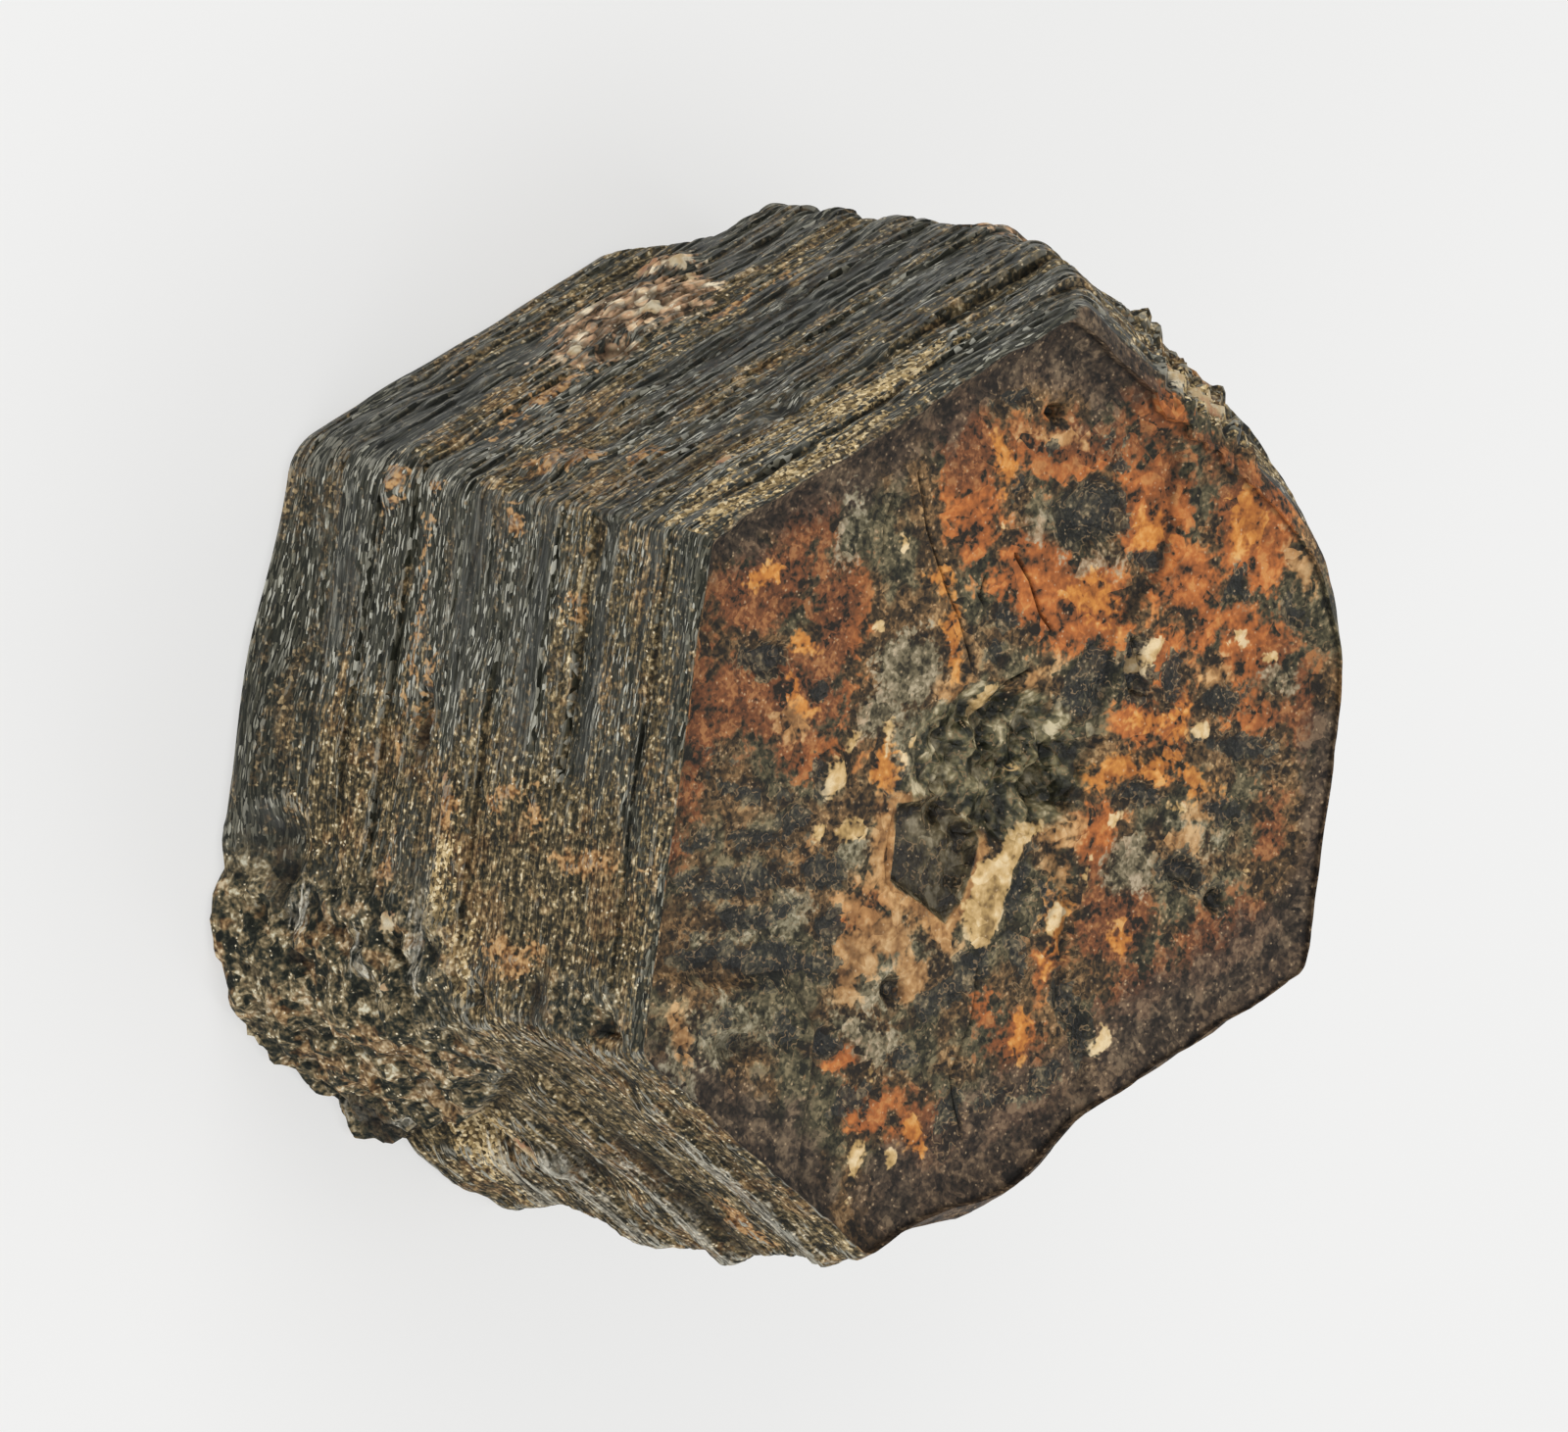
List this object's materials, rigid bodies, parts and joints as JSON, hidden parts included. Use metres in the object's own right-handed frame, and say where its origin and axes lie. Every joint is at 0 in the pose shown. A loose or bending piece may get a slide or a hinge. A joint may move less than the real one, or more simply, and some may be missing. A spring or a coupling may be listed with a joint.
{
  "type": "hibonite crystal specimen",
  "caption": "Stubby six-sided crystal with stepped, striated sides, a broken corner and a pitted rust-stained front face, standing on its flat back face.",
  "frame": {"origin": "centre of the bounding box at the bottom, on the plane of the flat back face", "axes": "+Z along the crystal's long axis from the flat back face to the pitted front face; -X faces the side with the dark striated face"},
  "size_m": [0.0272, 0.0319, 0.0194],
  "materials": {
    "hibonite": "rough, stained with rust, glassy glints on the striated sides"
  },
  "bodies": {
    "root": {"hibonite_crystal": "hibonite"}
  },
  "joints": []
}
